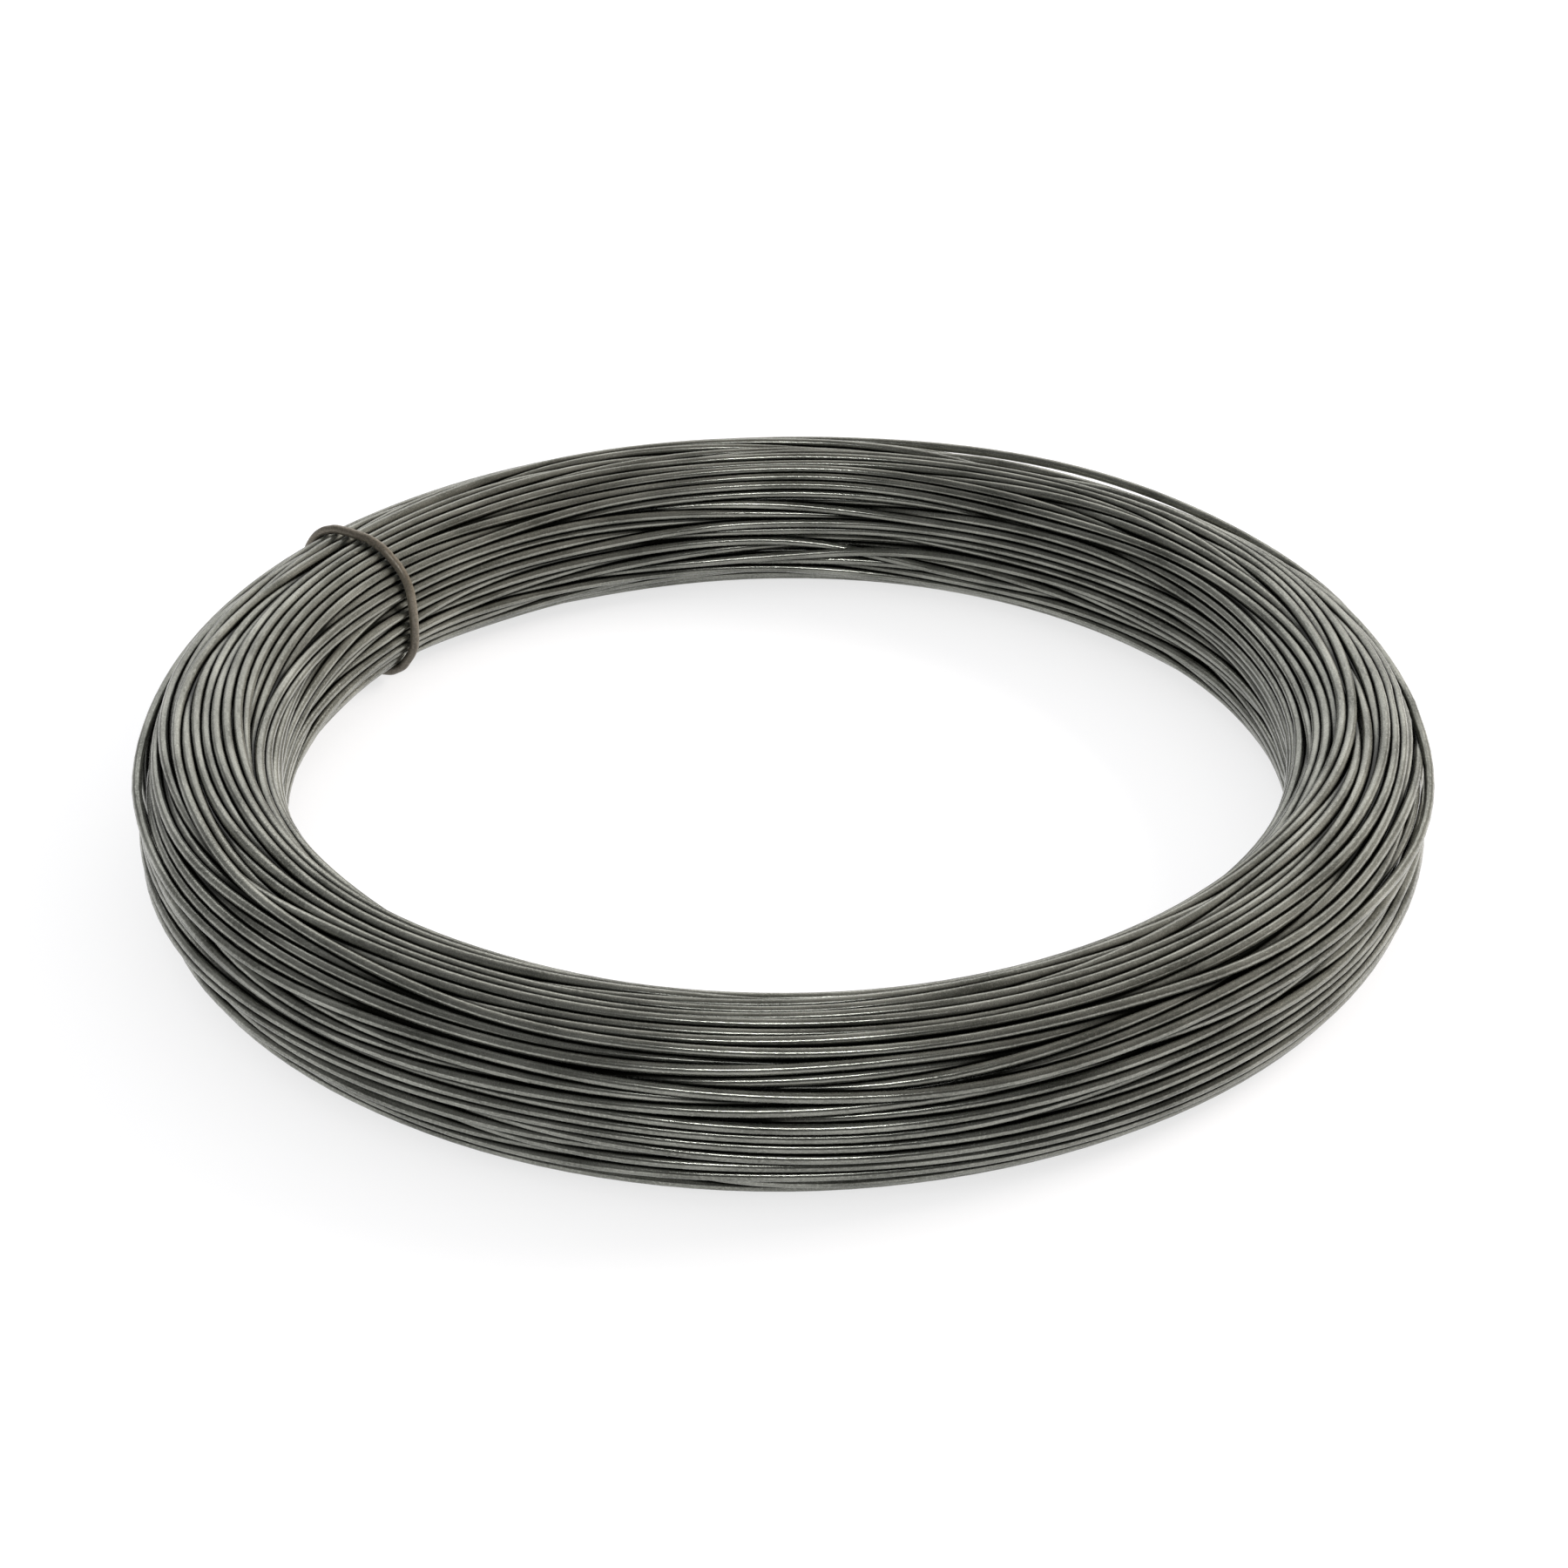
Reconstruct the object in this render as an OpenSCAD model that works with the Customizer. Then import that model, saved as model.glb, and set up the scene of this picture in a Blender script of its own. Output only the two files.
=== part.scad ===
// Coil of black annealed steel wire, lying flat and held by one wire tie.
// Millimetres. The coil's axis is Z and its lowest turns bear on Z = 0.

/* [Coil] */
// Clear bore between the innermost turns
bore_d = 232; // [180:1:240]
// Width of the wound section, from the bore to the outermost turns
section_w = 34; // [26:0.5:60]
// Height over the lowest and highest turns
coil_h = 38; // [30:0.5:60]
// Radius that the wound section is rounded to
corner_r = 14; // [6:0.5:15]

/* [Wire] */
// Diameter of the wound wire
wire_d = 2.3; // [1.6:0.1:4]
// Least free space between neighbouring turns of the outer layer
turn_gap = 0.12; // [0.05:0.01:0.5]
// Deepest that a turn of the outer layer lies below the others
lay_depth = 0.7; // [0:0.05:1]
// How far the lowest turn is flattened where it bears on the ground
bed = 0.1; // [0.02:0.01:0.3]

/* [Tie] */
// Diameter of the tie's wire
tie_d = 2.3; // [1.6:0.1:4]
// Place of the tie around the coil, in degrees from +X
tie_azimuth = 144.5; // [0:0.5:360]
// Free space between the tie and the turns that it holds
tie_seat = 0.2; // [0.05:0.05:0.5]
// Straight length of the tie between its bends on the outside of the coil and the twist
tie_straight = 0.5; // [0.2:0.1:5]
// Inside radius of the bends that lead into the twist
twist_bend = 1.6; // [1:0.1:3]
// Length of the twist
twist_len = 20; // [10:1:40]
// Length in which the two ends go once round each other
twist_pitch = 13; // [12:0.5:20]

/* [Hidden] */
$fn = 48;

wire_r = wire_d / 2;
tie_r = tie_d / 2;
bore_r = bore_d / 2;
outer_r = bore_r + section_w;
ring_fn = 120;

// The section's corner, limited so that a turn's width of each side stays straight
corner = min(corner_r, section_w / 2 - wire_r, coil_h / 2 - wire_r);

// Track of the outer layer: half sides and corner radius of the line through the turns' centres
track_corner = corner - wire_r;
track_leg_w = section_w / 2 - corner;
track_leg_h = coil_h / 2 - corner;
track_arc = track_corner * PI / 2;
quarter = track_leg_w + track_arc + track_leg_h;

// A turn lies in the middle of each side, so that the coil measures what its sizes say
turns_per_quarter = floor(quarter / (wire_d + turn_gap));
outer_turns = 4 * turns_per_quarter;
golden_angle = 137.508;

// Loop of the tie: sides of the line through its wire
tie_in = bore_r - tie_seat - tie_r;
tie_out = outer_r + tie_seat + tie_r;
tie_top = coil_h + tie_seat + tie_r;
tie_low = tie_r + tie_seat;
relief_w = tie_d + 2 * tie_seat;

// Twist of the tie, halfway up its outer side: its strands lie either side of its axis
twist_z = (tie_low + tie_top) / 2;
strand_offset = tie_r + tie_seat / 2;
bend_r = twist_bend + tie_r;
lead_z = strand_offset + bend_r;
strand_start = tie_r;
strand_ramp = 0.2;
strand_sides = 10;
twist_turns = twist_len / twist_pitch;
strand_rings = ceil(24 * twist_turns);

// Bends of the loop, inside and outside the coil, and their centres: on the outside they follow
// the section as far as the twist leaves room
bend_in = min(corner + tie_seat + tie_r, coil_h / 2 - tie_r);
bend_out = min(bend_in, coil_h / 2 - lead_z - tie_straight);
in_x = tie_in + bend_in;
out_x = tie_out - bend_out;

// Point of the track at a distance along it, from the middle of the underside outwards and up,
// as [across, up, direction that the layer faces]
function quarter_point(s, leg_a, leg_b) =
    s <= leg_a ? [s, -track_corner - leg_b, -90]
    : s <= leg_a + track_arc
        ? let (turn = (s - leg_a) / track_corner * 180 / PI)
          [leg_a + track_corner * sin(turn), -leg_b - track_corner * cos(turn), turn - 90]
    : [leg_a + track_corner, s - leg_a - track_arc - leg_b, 0];

function turned(p, angle) =
    [p[0] * cos(angle) - p[1] * sin(angle), p[0] * sin(angle) + p[1] * cos(angle), p[2] + angle];

function track_point(s) =
    let (side = floor(s / quarter + 1e-6),
         flat_first = side % 2 == 0,
         leg_a = flat_first ? track_leg_w : track_leg_h,
         leg_b = flat_first ? track_leg_h : track_leg_w)
    turned(quarter_point(s - side * quarter, leg_a, leg_b), 90 * side);

// How deep a turn lies in the layer: bedded on the ground where it faces straight down,
// flush in the middle of each other side, and uneven between
function turn_sink(i, facing) =
    sin(facing) == -1 ? -bed
    : i % turns_per_quarter == 0 ? 0
    : lay_depth * (1 - cos(i * golden_angle)) / 2;

module rounded_plate(w, h, r) {
    square([w, h - 2 * r], center = true);
    square([w - 2 * r, h], center = true);
    for (x = [-1, 1], y = [-1, 1])
        translate([x * (w / 2 - r), y * (h / 2 - r)]) circle(r);
}

// Half section of the coil, with the crown of each turn of the outer layer
module coil_section() {
    difference() {
        translate([bore_r + section_w / 2, coil_h / 2]) {
            rounded_plate(section_w - wire_d, coil_h - wire_d, track_corner);
            for (i = [0 : outer_turns - 1]) {
                p = track_point(i * quarter / turns_per_quarter);
                inward = turn_sink(i, p[2]);
                translate([p[0] - inward * cos(p[2]), p[1] - inward * sin(p[2])]) circle(wire_r);
            }
        }
        translate([bore_r, -wire_d]) square([section_w, wire_d]);
    }
}

// Area inside the loop of the tie, less a margin
module loop_area(margin) {
    low = tie_low + margin;
    high = tie_top - margin;
    translate([in_x, low]) square([out_x - in_x, high - low]);
    translate([tie_in + margin, tie_low + bend_in])
        square([tie_out - tie_in - 2 * margin, tie_top - tie_low - 2 * bend_in]);
    translate([out_x, tie_low + bend_out])
        square([bend_out - margin, tie_top - tie_low - 2 * bend_out]);
    for (z = [tie_low + bend_in, tie_top - bend_in])
        translate([in_x, z]) circle(bend_in - margin);
    for (z = [tie_low + bend_out, tie_top - bend_out])
        translate([out_x, z]) circle(bend_out - margin);
}

// What the turns leave free where they ride over the tie: a slot up to the inside of its loop
module tie_relief() {
    relief_top = corner + tie_r;
    rotate([0, 0, tie_azimuth]) difference() {
        translate([tie_in, -relief_w / 2, -wire_d])
            cube([tie_out - tie_in, relief_w, relief_top + wire_d]);
        rotate([90, 0, 0]) linear_extrude(2 * relief_w, center = true)
            loop_area(relief_w / 2);
    }
}

module wire_coil() {
    color("#5f5e59") difference() {
        rotate_extrude($fn = ring_fn) coil_section();
        tie_relief();
    }
}

// Straight wire from a point along a direction given by its turn about Y
module tie_leg(at, tilt, length) {
    translate([at[0], 0, at[1]]) rotate([0, tilt, 0]) cylinder(r = tie_r, h = length);
}

// Quarter bend of the loop about a centre, from an angle in the loop's plane
module tie_bend(centre, radius, from) {
    translate([centre[0], 0, centre[1]]) rotate([90, 0, 0]) rotate([0, 0, from])
        rotate_extrude(angle = 90) translate([radius, 0]) circle(tie_r);
}

// Quarter bend that leads an end of the tie into the twist: side is 1 above the twist and -1 below
module twist_lead(side) {
    translate([tie_out, bend_r, twist_z + side * lead_z])
        rotate([0, 90, 0]) rotate([0, 0, side > 0 ? -90 : 180])
            rotate_extrude(angle = 90) translate([bend_r, 0]) circle(tie_r);
}

// Share of the twist that is wound at a share of its length: it starts straight and ends wound
function wound(t) =
    (t < strand_ramp ? t * t / (2 * strand_ramp) : t - strand_ramp / 2) / (1 - strand_ramp / 2);

function winding_slope(t) = min(t / strand_ramp, 1) / (1 - strand_ramp / 2);

// Ring of points round a strand at a share of the twist's length, along Y. The twist's axis moves
// away from the coil over the first quarter turn, so that neither strand presses into the turns:
// side is 1 for the strand that goes over and -1 for the one that stays
function strand_ring(t, y, side) =
    let (phase = 360 * twist_turns * wound(t),
         first = min(phase, 90),
         climb = 2 * PI * twist_turns * strand_offset * winding_slope(t) / twist_len,
         way = [climb * (cos(phase) + side * cos(first)), 1, -climb * sin(phase)],
         along = way / norm(way),
         outward = [sin(phase), 0, cos(phase)],
         across = cross(along, outward) / norm(cross(along, outward)),
         away = cross(across, along))
    [for (k = [0 : strand_sides - 1])
        let (a = 360 * k / strand_sides)
        [side * strand_offset * sin(first), y, 0] + strand_offset * outward
            + 0.98 * tie_r * (cos(a) * away + sin(a) * across)];

// One end of the tie, wound round the other along +Y from the end of its lead
module strand(side) {
    rings = concat([strand_ring(0, strand_start / 2, side)],
        [for (i = [0 : strand_rings])
            let (t = i / strand_rings)
            strand_ring(t, 1.2 * strand_start + t * twist_len, side)]);
    last = len(rings) - 1;
    n = strand_sides;
    polyhedron(
        points = [for (ring = rings) each ring],
        faces = concat(
            [[for (k = [0 : n - 1]) k]],
            [for (i = [0 : last - 1], k = [0 : n - 1])
                [i * n + k, (i + 1) * n + k, (i + 1) * n + (k + 1) % n]],
            [for (i = [0 : last - 1], k = [0 : n - 1])
                [i * n + k, (i + 1) * n + (k + 1) % n, i * n + (k + 1) % n]],
            [[for (k = [0 : n - 1]) last * n + n - 1 - k]]));
}

// The two ends of the tie, wound round each other
module twist() {
    translate([tie_out, bend_r, twist_z]) for (side = [-1, 1]) rotate([0, 90 - side * 90, 0]) {
        translate([0, 0, strand_offset]) rotate([-90, 0, 0]) cylinder(r = tie_r, h = strand_start);
        strand(side);
    }
}

module tie_wire() {
    in_low = tie_low + bend_in;
    in_top = tie_top - bend_in;
    out_low = tie_low + bend_out;
    out_top = tie_top - bend_out;
    color("#6b665c") rotate([0, 0, tie_azimuth]) {
        tie_leg([in_x, tie_low], 90, out_x - in_x);
        tie_leg([in_x, tie_top], 90, out_x - in_x);
        tie_leg([tie_in, in_low], 0, in_top - in_low);
        tie_leg([tie_out, out_low], 0, twist_z - lead_z - out_low);
        tie_leg([tie_out, twist_z + lead_z], 0, out_top - twist_z - lead_z);
        tie_bend([in_x, in_low], bend_in, 180);
        tie_bend([out_x, out_low], bend_out, 270);
        tie_bend([out_x, out_top], bend_out, 0);
        tie_bend([in_x, in_top], bend_in, 90);
        mirror([0, 1, 0]) {
            for (side = [-1, 1]) twist_lead(side);
            twist();
        }
    }
}

wire_coil();
tie_wire();
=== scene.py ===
import math

import bpy
import numpy as np
from mathutils import Matrix, Vector


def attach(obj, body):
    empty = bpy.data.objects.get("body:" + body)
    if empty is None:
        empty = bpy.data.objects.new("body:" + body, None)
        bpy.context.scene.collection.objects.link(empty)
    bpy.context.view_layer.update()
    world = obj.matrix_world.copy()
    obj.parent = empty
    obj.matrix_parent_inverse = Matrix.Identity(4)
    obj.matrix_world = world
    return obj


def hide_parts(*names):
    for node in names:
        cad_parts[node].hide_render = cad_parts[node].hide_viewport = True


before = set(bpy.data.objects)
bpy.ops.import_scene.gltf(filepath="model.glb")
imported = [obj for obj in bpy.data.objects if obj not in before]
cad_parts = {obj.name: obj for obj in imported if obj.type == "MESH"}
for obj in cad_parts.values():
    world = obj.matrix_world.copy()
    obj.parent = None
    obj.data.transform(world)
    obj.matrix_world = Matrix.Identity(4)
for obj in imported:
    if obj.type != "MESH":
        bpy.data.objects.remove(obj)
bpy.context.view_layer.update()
mm = 0.001
print("frame loaded:", sorted(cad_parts))


def hexToLinear(code):
    channels = [int(code[i:i + 2], 16) / 255 for i in (1, 3, 5)]
    return [c / 12.92 if c <= 0.04045 else ((c + 0.055) / 1.055) ** 2.4 for c in channels] + [1.0]


def addNode(tree, kind, inputs=None, **settings):
    node = tree.nodes.new(kind)
    for name, value in settings.items():
        setattr(node, name, value)
    for socket, value in (inputs or {}).items():
        if isinstance(value, bpy.types.NodeSocket):
            tree.links.new(value, node.inputs[socket])
        else:
            node.inputs[socket].default_value = value
    return node


# Camera, placed as the photograph was taken: from the front, a little over 30 degrees up
cameraView = {
    "target": (-0.0002, 0.0, 0.0109),  # m
    "elevation": 30.84,  # degrees
    "distance": 0.7368,  # m
    "lens": 71.66,  # mm, on a 36 mm sensor
    "roll": 0.37,  # degrees, the picture leans this much to the left
}


def placeCamera(view):
    lift, roll = math.radians(view["elevation"]), math.radians(view["roll"])
    back = Vector((0, -math.cos(lift), math.sin(lift)))
    right, up = Vector((1, 0, 0)), Vector((0, math.sin(lift), math.cos(lift)))
    leanRight = right * math.cos(roll) - up * math.sin(roll)
    leanUp = right * math.sin(roll) + up * math.cos(roll)
    data = bpy.data.cameras.new("photoCamera")
    data.lens, data.sensor_width, data.sensor_fit = view["lens"], 36, "HORIZONTAL"
    camera = bpy.data.objects.new("photoCamera", data)
    place = Vector(view["target"]) + back * view["distance"]
    turn = Matrix((leanRight, leanUp, back)).transposed()
    camera.matrix_world = Matrix.Translation(place) @ turn.to_4x4()
    bpy.context.collection.objects.link(camera)
    bpy.context.scene.camera = camera


placeCamera(cameraView)
print("camera placed")

# The coil is one long wire. It is wound turn by turn round the middle of the section: each turn takes the
# path that lies lowest of a few that wander, bridges the hollows under it, and the lot is then pressed
# into the coil's outline. Section places are in mm from the middle of the section: across, then up.
coilLay = {
    "wire": 2.3,  # mm
    "turns": 184,
    "stations": 144,  # places round the ring at which the lay is worked out
    "boreRadius": 116.0,  # mm
    "section": (33.0, 38.0),  # mm, across and up
    "corner": 14.0,  # mm
    "lean": (1.0, 170),  # mm that the turns lie further out on one side, and its azimuth in degrees
    "tieLift": (2.7, 8.0),  # mm that the lowest turns rise over the tie, and degrees over which they do
    "seed": 7,
    "tries": 20,  # paths tried for each turn
    "drift": 0.6,  # radians that a turn moves round the section
    "wander": 0.9,  # wire diameters that a turn strays on its way
    "bridge": 7.0,  # stations, how stiff the wire is over a hollow
    "bridgeRounds": 25,  # times that the bridging is worked over
    "tail": 12,  # stations of a turn that the next one joins on to
    "cost": (3, 0.3),  # how far a path is marked down for lying past the outline and for being uneven
    "sink": (1.5, 14.0),  # mm that some stretches lie deeper, and stations over which that changes
    "hollowSpread": 22,  # degrees round the section over which turns lie deeper under a loose stretch
    "pressSteps": 420,
    "pressBlur": (8.0, 4.0),  # stations over which a turn gives way, at the start and at the end
    "pressReach": (1.4, 10),  # wire diameters within which turns may meet, and steps between looks
    # mm that the turns spring outwards in the first step, and the share of the steps in which that dies away
    "spring": (0.008, 0.7),
    # wire diameters apart at which turns start to cover each other, and how much nearer they do so fully
    "cover": (1.6, 0.6),
    "sides": 12,  # of the tube that stands for the wire
}

# The last turns lie on top and show whole, so their places in the section are chosen: degrees along the
# wire from azimuth 0, then degrees round the section from straight out, through up
lastTurns = [
    (0, 40), (40, 50), (75, 54), (120, 54), (178, 48), (197, 32), (215, 30), (270, 33), (330, 32),
    (343, 28), (360, 40), (430, 70), (500, 90), (570, 108), (610, 120), (645, 120), (681, 114), (695, 104),
    (708, 95), (720, 88), (735, 83), (790, 82), (860, 96), (930, 112), (980, 124), (1020, 127), (1046, 121),
    (1060, 111), (1072, 103), (1085, 97), (1100, 92), (1150, 84), (1230, 76), (1300, 66), (1380, 48),
    (1440, 24), (1500, -5), (1560, -30), (1700, -50), (1800, -60),
]
# Stretches of them that stand off: degrees along the wire, degrees of reach, mm that the wire stands
# proud and mm that the turns under it lie deeper
looseStretches = [(56, 17, 1.4, 3.0), (197, 11, 1.2, 0.5), (343, 9, 1.0, 0.5)]


def blurAlong(values, reach):
    # Weighted mean of each row and its neighbours, with the end rows repeated
    half = int(math.ceil(3 * reach))
    weights = np.exp(-0.5 * (np.arange(-half, half + 1) / reach) ** 2)
    weights /= weights.sum()
    padded = np.concatenate([np.repeat(values[:1], half, 0), values, np.repeat(values[-1:], half, 0)])
    return sum(weights[k] * padded[k:k + len(values)] for k in range(2 * half + 1))


def outlineRoom(lay, tieAzimuth):
    # Middle and half sides of the room for the wire's centre, for each station
    azimuth = 360 * np.arange(lay["stations"]) / lay["stations"]
    lean, leanTo = lay["lean"]
    wide = lean * (1 + np.cos(np.radians(azimuth - leanTo))) / 2
    lift, span = lay["tieLift"]
    rise = lift * np.exp(-0.5 * (((azimuth - tieAzimuth + 180) % 360 - 180) / span) ** 2)
    across, up = (side - lay["wire"] for side in lay["section"])
    return np.stack([wide / 2, rise / 2, (across + wide) / 2, (up - rise) / 2])


def pastOutline(x, z, room, corner):
    # How far a place lies past the outline, and the way out
    middleX, middleZ, halfX, halfZ = room
    x, z = x - middleX, z - middleZ
    overX, overZ = np.abs(x) - (halfX - corner), np.abs(z) - (halfZ - corner)
    roundX, roundZ = np.maximum(overX, 0), np.maximum(overZ, 0)
    length = np.hypot(roundX, roundZ)
    past = length + np.minimum(np.maximum(overX, overZ), 0) - corner
    flat = length < 1e-9
    outX = np.where(flat, (overX > overZ) * 1.0, roundX / np.maximum(length, 1e-9)) * np.sign(x)
    outZ = np.where(flat, (overX <= overZ) * 1.0, roundZ / np.maximum(length, 1e-9)) * np.sign(z)
    return past, outX, outZ


def outlineReach(lay):
    # How far the room reaches from the middle of the section each way, found by halving
    angles = np.linspace(-math.pi, math.pi, 721)  # every half degree
    low, high = np.zeros(len(angles)), np.full(len(angles), 60.0)  # mm
    room = [0, 0] + [(side - lay["wire"]) / 2 for side in lay["section"]]
    corner = lay["corner"] - lay["wire"] / 2
    for _ in range(40):
        middle = (low + high) / 2
        past = pastOutline(middle * np.cos(angles), middle * np.sin(angles), room, corner)[0]
        low, high = np.where(past < 0, middle, low), np.where(past < 0, high, middle)
    return lambda a: np.interp((a + math.pi) % (2 * math.pi) - math.pi, angles, low)


def layTurns(lay, lastTurns):
    rng = np.random.default_rng(lay["seed"])
    wire, count, reach = lay["wire"], lay["stations"], outlineReach(lay)
    overCost, unevenCost = lay["cost"]
    share = np.arange(count) / count  # of the way round
    ease = share * share * (3 - 2 * share)
    settle = share * (1 - share) ** 2  # takes up the slope that a turn starts with
    at, chosen = np.radians(np.array(lastTurns, float)).T
    ledTurns = round(at[-1] / (2 * math.pi))
    led = np.interp(np.arange(ledTurns * count) * 2 * math.pi / count, at, chosen)
    led = blurAlong(led[:, None], 3.0).reshape(ledTurns, count)
    laid = np.zeros((lay["turns"], count, 2))
    start, slope, tail = rng.uniform(-math.pi, math.pi), 0.0, np.zeros(lay["tail"])
    for turn in range(lay["turns"]):
        best = None
        size = max(tail.mean(), 2.0)  # mm, how far out the wire lies by now
        ledTurn = turn - (lay["turns"] - ledTurns)
        for _ in range(lay["tries"] if ledTurn < 0 else 1):
            angle = start + rng.normal() * lay["drift"] * ease + slope * settle
            for wave in (1, 2):  # two slow sways, which start with no slope
                swing = 0.5 * lay["wander"] * wire / size / wave ** 0.7 * rng.normal()
                phase = rng.uniform(0, 2 * math.pi)
                sway = np.sin(2 * math.pi * wave * share + phase) - math.sin(phase)
                sway -= 2 * math.pi * wave * math.cos(phase) * settle
                angle = angle + swing * sway * np.minimum(1, 6 * share)
            if ledTurn == -1:
                gap = (led[0, 0] - angle[-1] + math.pi) % (2 * math.pi) - math.pi
                angle = angle + gap * ease
            if ledTurn >= 0:
                angle = led[ledTurn] + 2 * math.pi * round((start - led[ledTurn][0]) / (2 * math.pi))
            along = np.stack([np.cos(angle), np.sin(angle)], 1)
            need = np.zeros(count)
            if turn:
                placed = laid[:turn]
                out = placed[..., 0] * along[:, 0] + placed[..., 1] * along[:, 1]
                side = placed[..., 0] * along[:, 1] - placed[..., 1] * along[:, 0]
                lift = out + np.sqrt(np.maximum(wire * wire - side * side, 0))
                need = np.maximum(np.where(np.abs(side) < wire, lift, 0).max(0), 0)
            level = need / reach(angle)
            cost = level.mean() + overCost * np.maximum(level - 1, 0).mean() + unevenCost * level.std()
            if best is None or cost < best[0]:
                best = cost, angle, need, along
        _, angle, need, along = best
        floor = np.concatenate([tail, need])
        line = floor.copy()
        for _ in range(lay["bridgeRounds"]):
            line = np.maximum(blurAlong(line[:, None], lay["bridge"])[:, 0], floor)
            line[:len(tail)] = tail
        line = blurAlong(line[:, None], lay["bridge"] / 2)[len(tail):, 0]
        laid[turn] = along * line[:, None]
        start, tail = angle[-1], line[-lay["tail"]:]
        slope = float(np.clip((angle[-1] - angle[-4]) / 3 * count, -2, 2))  # radians a turn, at its end
    return laid.reshape(-1, 2)


def findNeighbours(path, lay, reach):
    # Pairs of places at the same station whose turns lie within reach of each other
    turns, count = lay["turns"], lay["stations"]
    grid = path.reshape(turns, count, 2).transpose(1, 0, 2)
    near = ((grid[:, :, None] - grid[:, None]) ** 2).sum(-1) < reach ** 2
    station, one, other = np.nonzero(near & np.triu(np.ones((turns, turns), bool), 1))
    return one * count + station, other * count + station


def hollowUnder(path, lay, ledCount):
    # How much deeper the turns lie that pass under the loose stretches
    azimuth = 360 * (np.arange(len(path)) % lay["stations"]) / lay["stations"]
    section = np.degrees(np.arctan2(path[:, 1], path[:, 0]))
    run = 360 * (np.arange(len(path)) - len(path) + ledCount) / lay["stations"]
    deeper = np.zeros(len(path))
    for place, reach, _, hollow in looseStretches:
        middle = section[np.abs(run - place).argmin()]
        along, across = ((gap + 180) % 360 - 180 for gap in (azimuth - place, section - middle))
        dip = hollow * np.exp(-0.5 * (along / reach) ** 2 - 0.5 * (across / lay["hollowSpread"]) ** 2)
        deeper += np.where(np.abs(run - place) < 90, 0, dip)  # not the loose stretch itself
    return deeper


def pressTurns(path, lay, room, ledCount):
    # Turns that overlap move apart and what lies past the outline moves in, a little at each step
    wire = lay["wire"]
    nearby, stepsBetween = lay["pressReach"]
    spring, springShare = lay["spring"]
    soft, firm = lay["pressBlur"]
    rng = np.random.default_rng(lay["seed"] + 1)
    depth, span = lay["sink"]
    noise = blurAlong(rng.normal(size=(len(path), 1)), span)[:, 0]
    sink = depth * np.argsort(np.argsort(noise)) / len(noise)
    sink[-ledCount:] = 0
    sink *= np.tile(1 - room[1] / room[1].max(), lay["turns"])
    sink += hollowUnder(path, lay, ledCount)
    room = np.tile(room, lay["turns"])
    for step in range(lay["pressSteps"]):
        if step % stepsBetween == 0:
            a, b = findNeighbours(path, lay, nearby * wire)
        gap = path[a] - path[b]
        length = np.maximum(np.hypot(gap[:, 0], gap[:, 1]), 1e-6)
        move = gap * (0.5 * np.maximum(wire - length, 0) / length)[:, None]
        shift = np.stack([np.bincount(a, move[:, k], len(path)) - np.bincount(b, move[:, k], len(path))
                          for k in (0, 1)], 1)
        past, outX, outZ = pastOutline(path[:, 0], path[:, 1], room, lay["corner"] - wire / 2)
        shift -= np.maximum(past + sink, 0)[:, None] * np.stack([outX, outZ], 1)
        outwards = spring * max(0.0, 1 - step / (springShare * lay["pressSteps"]))
        shift += path / np.maximum(np.hypot(path[:, 0], path[:, 1]), 1)[:, None] * outwards
        path = path + blurAlong(shift, soft + (firm - soft) * step / lay["pressSteps"])
    overlap = np.maximum(wire - length, 0)
    print("turns pressed: deepest overlap %.2f mm, %d places over 0.3 mm"
          % (overlap.max(), (overlap > 0.3).sum()))
    return path


def coverOf(path, lay, facing):
    # How far the neighbouring turns cover each side of the wire, by the way that it faces in the section; it
    # sets the painted shade
    farthest, fading = lay["cover"]
    one, other = findNeighbours(path, lay, farthest * lay["wire"])
    a, b = np.concatenate([one, other]), np.concatenate([other, one])
    way = path[b] - path[a]
    apart = np.hypot(way[:, 0], way[:, 1])
    way /= apart[:, None]
    close = np.clip((farthest - apart / lay["wire"]) / fading, 0, 1)
    cover = np.empty(facing.shape[:2])
    for k in range(facing.shape[1]):
        towards = np.clip((facing[a, k] * way).sum(1), 0, 1)
        cover[:, k] = np.bincount(a, close * towards ** 2, len(path))
    return np.clip(cover, 0, 1)


def ringsAlong(centres, radius, sides):
    # Rings of points round a centre line that bends any way
    ahead = np.gradient(centres, axis=0)
    ahead /= np.linalg.norm(ahead, axis=1)[:, None]
    turn = 2 * math.pi * np.arange(sides) / sides
    across, up = np.cos(turn)[:, None], np.sin(turn)[:, None]
    side, rings = np.cross(ahead[0], (0, 0, 1.0)), []
    for centre, way in zip(centres, ahead):
        side = side - way * (side @ way)
        side /= math.sqrt(side @ side)
        rings.append(centre + radius * (across * side + up * np.cross(way, side)))
    return np.array(rings)


def lengthAlong(points):
    return np.concatenate([[0], np.cumsum(np.linalg.norm(np.diff(points, axis=0), axis=1))])


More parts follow.
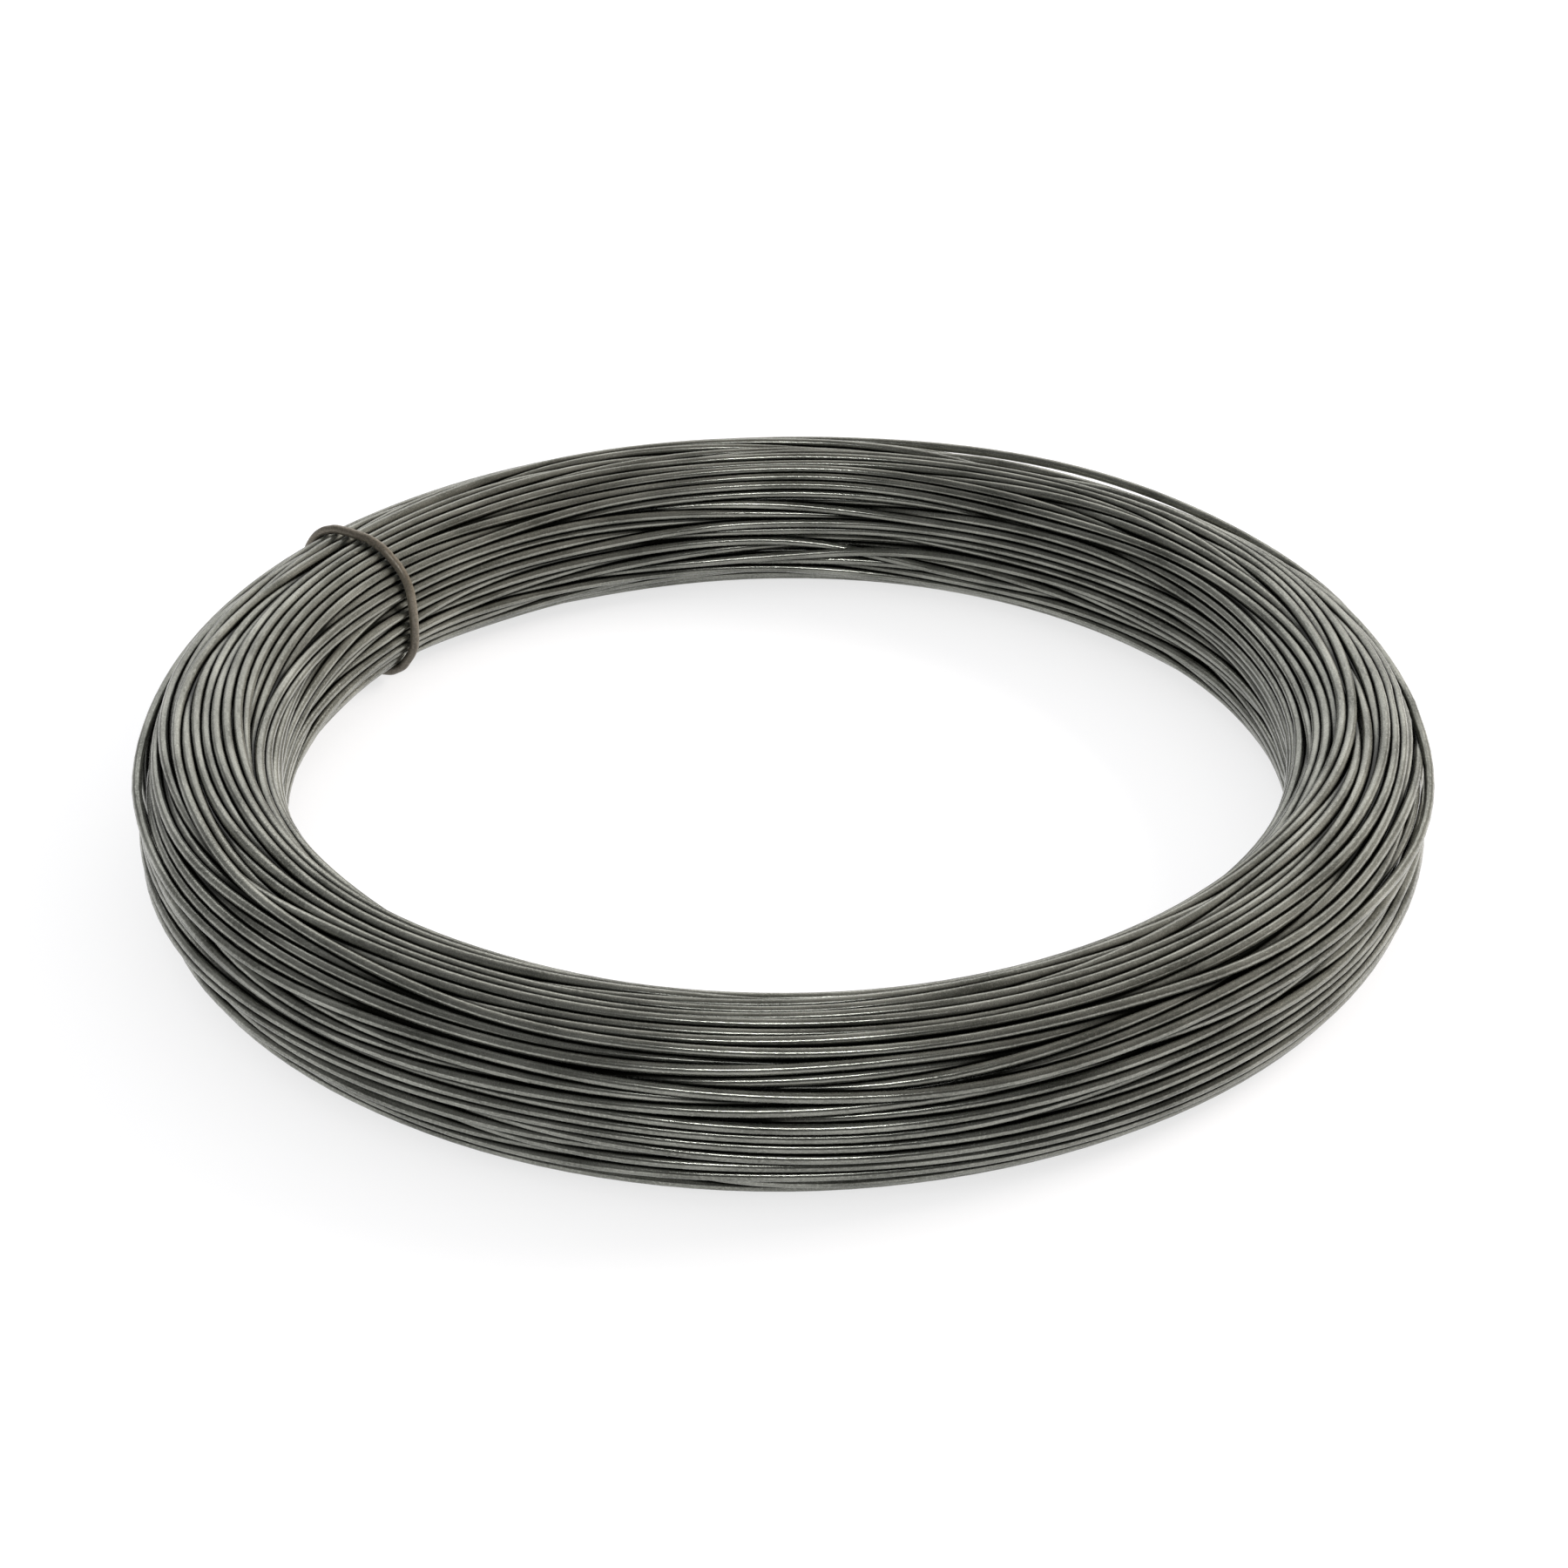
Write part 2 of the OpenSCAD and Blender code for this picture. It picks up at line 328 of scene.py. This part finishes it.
def wireMesh(name, rings, run, cover):
    # One tube through the rings with a flat cut at each end. It carries the wire's own coordinates in mm,
    # across and along, and how far it is covered
    count, sides = rings.shape[:2]
    radius = np.linalg.norm(rings[0, 0] - rings[0].mean(0))
    turn = 2 * math.pi * np.arange(sides) / sides
    own = np.empty_like(rings)
    own[..., 0], own[..., 1] = radius * np.cos(turn), radius * np.sin(turn)
    own[..., 2] = run[:, None]
    i, k = np.meshgrid(np.arange(count - 1), np.arange(sides), indexing="ij")
    nextK = (k + 1) % sides
    faces = np.stack([i * sides + k, i * sides + nextK, (i + 1) * sides + nextK, (i + 1) * sides + k], -1)
    faces = faces.reshape(-1, 4).tolist()
    faces += [list(range(sides - 1, -1, -1)), list(range((count - 1) * sides, count * sides))]
    mesh = bpy.data.meshes.new(name)
    mesh.from_pydata(rings.reshape(-1, 3).tolist(), [], faces)
    mesh.shade_smooth()
    mesh.attributes.new("wireCoords", "FLOAT_VECTOR", "POINT").data.foreach_set(
        "vector", (own / mm).reshape(-1).astype(np.float32))
    mesh.attributes.new("covered", "FLOAT", "POINT").data.foreach_set(
        "value", cover.reshape(-1).astype(np.float32))
    return mesh


def addPiece(name, mesh, material, node):
    piece = bpy.data.objects.new(name, mesh)
    bpy.context.collection.objects.link(piece)
    mesh.materials.append(material)
    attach(piece, "root")
    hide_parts(node)


# Black annealed steel: drawn wire, annealed in a closed pot. The oxide is a dull olive grey, finely speckled
# and half metallic, so that its glints are thin and broken. Where neighbouring turns cover the wire, a
# near-black painted shade darkens it, so only the open sides of the turns are pale. The tie is cut from
# browner stock.
annealedSteel = {"dark": "#5e5f58", "light": "#b2b3aa", "metallic": 0.6, "roughness": 0.22}
tieSteel = {"dark": "#5f594e", "light": "#958d7f", "metallic": 0.35, "roughness": 0.42}
# Painted shade: near-black colour mixed in where neighbouring turns cover the wire, between the turns
paintedShade = {"colour": "#14150f", "from": 0.22, "to": 0.8}
oxideGrain = {
    "speck": 0.55,  # mm, coarser than the oxide's own grain so that it reads
    "patch": 25,  # mm, of the paler and darker stretches
    "depth": 0.04,  # mm, of the specks
    "bump": 0.4,
    "roughSwing": 0.12,  # how far the pale specks are smoother and the dark ones rougher
}


def wireSteel(name, finish):
    material = bpy.data.materials.new(name)
    material.use_nodes = True
    tree = material.node_tree
    tree.nodes.clear()
    own = addNode(tree, "ShaderNodeAttribute", attribute_name="wireCoords").outputs["Vector"]
    covered = addNode(tree, "ShaderNodeAttribute", attribute_name="covered").outputs["Fac"]
    speckle = addNode(tree, "ShaderNodeTexNoise", {"Vector": own, "Scale": 1 / oxideGrain["speck"],
                                                   "Detail": 3.0, "Roughness": 0.65}).outputs["Fac"]
    patch = addNode(tree, "ShaderNodeTexNoise", {"Vector": own, "Scale": 1 / oxideGrain["patch"],
                                                 "Detail": 2.0}).outputs["Fac"]
    blend = addNode(tree, "ShaderNodeMath", {0: speckle, 1: patch}, operation="ADD").outputs[0]
    tone = addNode(tree, "ShaderNodeMapRange", {"Value": blend, "From Min": 0.75,
                                                "From Max": 1.25}).outputs[0]
    oxide = addNode(tree, "ShaderNodeMix", {"Factor": tone, 6: hexToLinear(finish["dark"]),
                                            7: hexToLinear(finish["light"])}, data_type="RGBA").outputs[2]
    # Painted shade: the colour goes towards near black where the wire is covered by its neighbours
    paintedShadeMask = addNode(tree, "ShaderNodeMapRange", {"Value": covered, "From Min": paintedShade["from"],
                                                 "From Max": paintedShade["to"]},
                    interpolation_type="SMOOTHSTEP").outputs[0]
    colour = addNode(tree, "ShaderNodeMix", {"Factor": paintedShadeMask, 6: oxide, 7: hexToLinear(paintedShade["colour"])},
                     data_type="RGBA").outputs[2]
    rough = addNode(tree, "ShaderNodeMapRange", {"Value": speckle, "From Min": 0.3, "From Max": 0.7,
                                                 "To Min": finish["roughness"] + oxideGrain["roughSwing"],
                                                 "To Max": finish["roughness"] - oxideGrain["roughSwing"]
                                                 }).outputs[0]
    bump = addNode(tree, "ShaderNodeBump", {"Height": speckle, "Strength": oxideGrain["bump"],
                                            "Distance": oxideGrain["depth"] * mm}).outputs[0]
    shader = addNode(tree, "ShaderNodeBsdfPrincipled", {"Base Color": colour, "Metallic": finish["metallic"],
                                                        "Roughness": rough, "Normal": bump})
    addNode(tree, "ShaderNodeOutputMaterial", {"Surface": shader.outputs["BSDF"]})
    return material


# The tie goes once round the section and is closed by twisting its ends together on the outside
tie = {
    "wire": 2.3,  # mm
    "azimuth": 144.5,  # degrees
    "outerRadius": 150.0,  # mm, of the coil that it holds
    "seat": 0.2,  # mm
    "lead": 2.75,  # mm, bend into the twist
    "leadRoom": (1, 10),  # mm above and below the leads, and mm in from them, that the loop leaves free
    "twistStart": 1.7,  # mm of straight wire before the twist
    "twistLength": 20.0,  # mm
    "twistPitch": 13.0,  # mm
    "twistRamp": 0.2,  # share of the twist over which it tightens
    "twistStep": 0.5,  # mm between the places of a strand
    "step": 0.7,  # mm between the places of the whole line
    "easing": 0.8,  # steps over which its corners are eased
    "sides": 16,
}


def windCoil(lay, tieAzimuth):
    room = outlineRoom(lay, tieAzimuth)
    ledCount = round(lastTurns[-1][0] / 360) * lay["stations"]
    path = pressTurns(layTurns(lay, lastTurns), lay, room, ledCount)
    along = 360 * np.arange(ledCount) / lay["stations"]
    for place, reach, height, _ in looseStretches:
        stand = height * np.exp(-0.5 * ((along - place) / reach) ** 2)
        led = path[-ledCount:]
        path[-ledCount:] = led + led / np.hypot(led[:, 0], led[:, 1])[:, None] * stand[:, None]
    azimuth = 2 * math.pi * np.arange(len(path)) / lay["stations"]
    wireRadius = lay["wire"] / 2
    radius = lay["boreRadius"] + lay["section"][0] / 2 + path[:, 0]
    radius = np.clip(radius, lay["boreRadius"] + wireRadius, tie["outerRadius"] - wireRadius)
    height = np.maximum(lay["section"][1] / 2 + path[:, 1], wireRadius)
    centres = np.stack([radius * np.cos(azimuth), radius * np.sin(azimuth), height], 1) * mm
    rings, run = ringsAlong(centres, wireRadius * mm, lay["sides"]), lengthAlong(centres)
    outward = np.stack([np.cos(azimuth), np.sin(azimuth)], 1)[:, None]
    side = (rings - centres[:, None]) / (wireRadius * mm)
    cover = coverOf(path, lay, np.stack([(side[..., :2] * outward).sum(-1), side[..., 2]], -1))
    steel = wireSteel("blackAnnealedWire", annealedSteel)
    quarter = lay["turns"] // 4 * lay["stations"]
    for part, step in enumerate((2, 1, 1, 1)):  # the first turns are buried, and half their sides do
        piece = slice(part * quarter, (part + 1) * quarter + 1), slice(None, None, step)
        name = "woundTurns%d" % (part + 1)
        mesh = wireMesh(name, rings[piece], run[piece[0]], cover[piece])
        addPiece(name, mesh, steel, "wire_coil")
    print("coil wound: %.1f m of wire in %d turns" % (run[-1], lay["turns"]))
    under = (np.arange(len(path)) - tieAzimuth / 360 * lay["stations"]) % lay["stations"]
    held = np.minimum(under, lay["stations"] - under) < 1  # within a station of the tie
    return np.stack([radius, height], 1)[held]


heldTurns = windCoil(coilLay, tie["azimuth"])


def tieLine(tie, lay, held):
    # Line of the tie's wire in the plane of its loop: outwards from the coil's axis, along the coil, up
    radius, seat, lead = tie["wire"] / 2, tie["seat"], tie["lead"]
    outer = tie["outerRadius"] + seat + radius
    middle, off = (lay["section"][1] + 2 * (seat + radius)) / 2, radius + seat / 2
    ramp, leadEnd = tie["twistRamp"], -lead - tie["twistStart"]

    def strand(side):
        # One strand keeps its line along the coil and the other goes round it
        y = np.arange(tie["twistLength"], 0, -tie["twistStep"])
        t = y / tie["twistLength"]
        wound = np.where(t < ramp, t * t / (2 * ramp), t - ramp / 2) / (1 - ramp / 2)
        phase = 2 * math.pi * tie["twistLength"] / tie["twistPitch"] * wound
        away = off * (np.sin(np.minimum(phase, math.pi / 2)) + side * np.sin(phase))
        return np.stack([outer + away, leadEnd - y, middle + side * off * np.cos(phase)], 1)

    def leadIn(side):
        a = np.radians(np.linspace(90, 0, 7))
        up = middle + side * (off + lead - lead * np.sin(a))
        return np.stack([0 * a + outer, lead * np.cos(a) - lead, up], 1)

    # It is pulled tight: on each side it bears on the turn that lies furthest out
    a = np.radians(np.arange(1, 360, 2))
    ways = np.stack([np.cos(a), np.sin(a)], 1)
    loop = held[(held @ ways.T).argmax(0)] + (lay["wire"] / 2 + radius) * ways
    room, depth = tie["leadRoom"]
    loop = loop[(np.abs(loop[:, 1] - middle) > off + lead + room) | (loop[:, 0] < outer - depth)]
    loop = np.stack([loop[:, 0], 0 * loop[:, 0], loop[:, 1]], 1)
    points = np.concatenate([strand(1), leadIn(1)[::-1], loop, leadIn(-1), strand(-1)[::-1]])
    length = lengthAlong(points)
    even = np.arange(0, length[-1], tie["step"])
    points = np.stack([np.interp(even, length, points[:, k]) for k in range(3)], 1)
    return blurAlong(points, tie["easing"])


def makeTie(tie, lay, held):
    line = tieLine(tie, lay, held)
    a = math.radians(tie["azimuth"])
    turned = np.array([[math.cos(a), math.sin(a), 0], [-math.sin(a), math.cos(a), 0], [0, 0, 1]])
    centres = line @ turned * mm
    radius = tie["wire"] / 2 * mm
    rings = ringsAlong(centres, radius, tie["sides"])
    # Its side towards the turns is covered by them, and is darkened there with painted shade
    middle = np.array([lay["boreRadius"] + lay["section"][0] / 2, 0, lay["section"][1] / 2]) @ turned * mm
    inward = middle - centres
    inward /= np.linalg.norm(inward, axis=1)[:, None]
    cover = np.clip(((rings - centres[:, None]) * inward[:, None]).sum(-1) / radius, 0, 1) ** 2
    mesh = wireMesh("tieLoop", rings, lengthAlong(centres), cover)
    addPiece("tieLoop", mesh, wireSteel("annealedTieWire", tieSteel), "tie_wire")
    print("tie made: %.3f m of wire" % lengthAlong(centres)[-1])


makeTie(tie, coilLay, heldTurns)

# Pale floor and soft light: the main softbox behind on the right, a wide one low behind, a large one
# overhead, one in front on the left and a strip high in front, in a room that is darker towards the camera
studio = {
    "floor": "#86868a",
    "floorSize": 12,  # m
    "floorGlow": (0.7, 0.935),  # near the object, dimmed as a painted contact shadow, and in the open
    "paintedShadowReach": 0.07,  # m from a place on the floor within which the object dims the glow as painted shadow
    "horizon": 0.6,
    "horizonBand": (0.14, 0.26),  # upward share of the direction, from the horizon to the room above it
    "roomFront": 0.02,
    "roomBack": 0.3,
    "roomTurn": (-0.4, 0.6),  # backward share of the direction, from the room's front to its back
    "main": 40.0,  # W
    "behind": 5.5,  # W
    "overhead": 1.5,  # W
    "front": 7.0,  # W
    "strip": 8.0,  # W
}


def makeStudio(studio):
    scene = bpy.context.scene
    scene.view_settings.view_transform = "Standard"
    bpy.ops.mesh.primitive_plane_add(size=studio["floorSize"])
    floor = bpy.context.object
    floor.name = "studioFloor"
    material = bpy.data.materials.new("mattFloor")
    material.use_nodes = True
    tree = material.node_tree
    tree.nodes.clear()
    # The floor's glow shows to the camera and in the wire, and lights no surface
    ray = addNode(tree, "ShaderNodeLightPath").outputs
    seen = addNode(tree, "ShaderNodeMath", {0: ray["Is Camera Ray"], 1: ray["Is Glossy Ray"]},
                   operation="MAXIMUM")
    seen = addNode(tree, "ShaderNodeMath", {0: seen.outputs[0], 1: ray["Is Transmission Ray"]},
                   operation="MAXIMUM")
    glowInPaintedShadow, inTheOpen = studio["floorGlow"]
    # Painted contact shadow: ambient occlusion dims the glow where the object closes the floor off
    closed = addNode(tree, "ShaderNodeAmbientOcclusion", {"Distance": studio["paintedShadowReach"]}, samples=8)
    glowWithPaintedShadow = addNode(tree, "ShaderNodeMapRange", {"Value": closed.outputs["AO"], "To Min": glowInPaintedShadow,
                                                      "To Max": inTheOpen})
    glow = addNode(tree, "ShaderNodeMath", {0: seen.outputs[0], 1: glowWithPaintedShadow.outputs[0]},
                   operation="MULTIPLY")
    paint = addNode(tree, "ShaderNodeBsdfDiffuse", {"Color": hexToLinear(studio["floor"])})
    shine = addNode(tree, "ShaderNodeEmission", {"Strength": glow.outputs[0]})
    both = addNode(tree, "ShaderNodeAddShader", {0: paint.outputs[0], 1: shine.outputs[0]})
    addNode(tree, "ShaderNodeOutputMaterial", {"Surface": both.outputs[0]})
    floor.data.materials.append(material)

    world = bpy.data.worlds.new("studioRoom")
    scene.world = world
    world.use_nodes = True
    tree = world.node_tree
    tree.nodes.clear()
    way = addNode(tree, "ShaderNodeTexCoord").outputs["Generated"]
    part = addNode(tree, "ShaderNodeSeparateXYZ", {"Vector": way})
    bandLow, bandHigh = studio["horizonBand"]
    band = addNode(tree, "ShaderNodeMapRange", {"Value": part.outputs["Z"], "From Min": bandLow,
                                                "From Max": bandHigh, "To Min": studio["horizon"],
                                                "To Max": studio["roomBack"]},
                   interpolation_type="SMOOTHSTEP")
    turnFront, turnBack = studio["roomTurn"]
    roomLevel = addNode(tree, "ShaderNodeMapRange", {"Value": part.outputs["Y"], "From Min": turnFront,
                                                     "From Max": turnBack, "To Min": studio["roomFront"],
                                                     "To Max": band.outputs[0]},
                        interpolation_type="SMOOTHSTEP")
    sky = addNode(tree, "ShaderNodeBackground", {"Color": (1, 1, 1, 1), "Strength": roomLevel.outputs[0]})
    addNode(tree, "ShaderNodeOutputWorld", {"Surface": sky.outputs[0]})

    def softbox(name, place, size, power, colour, lights):
        # A box for the surface isn't mirrored in the wire, and one for the sheen gives glints alone
        data = bpy.data.lights.new(name, "AREA")
        data.shape, data.size, data.size_y, data.energy = "RECTANGLE", size[0], size[1], power
        data.color = hexToLinear(colour)[:3]
        lamp = bpy.data.objects.new(name, data)
        lamp.location = place
        lamp.visible_diffuse = lights != "sheen"
        lamp.visible_glossy = lights != "surface"
        lamp.rotation_euler = (-Vector(place)).to_track_quat("-Z", "Y").to_euler()
        bpy.context.collection.objects.link(lamp)

    softbox("mainBox", (1.35, 0.5, 0.75), (0.8, 0.8), studio["main"], "#fff6ec", "surface")
    softbox("behindBox", (0.0, 1.3, 0.75), (2.0, 0.8), studio["behind"], "#ffffff", "both")
    softbox("overheadBox", (0.0, 0.0, 1.6), (1.6, 1.6), studio["overhead"], "#ffffff", "surface")
    softbox("frontBox", (-0.95, -1.0, 0.75), (0.8, 0.8), studio["front"], "#ffffff", "surface")
    softbox("stripBox", (0.0, -1.05, 1.1), (0.7, 0.12), studio["strip"], "#ffffff", "sheen")
    print("studio lit")


makeStudio(studio)
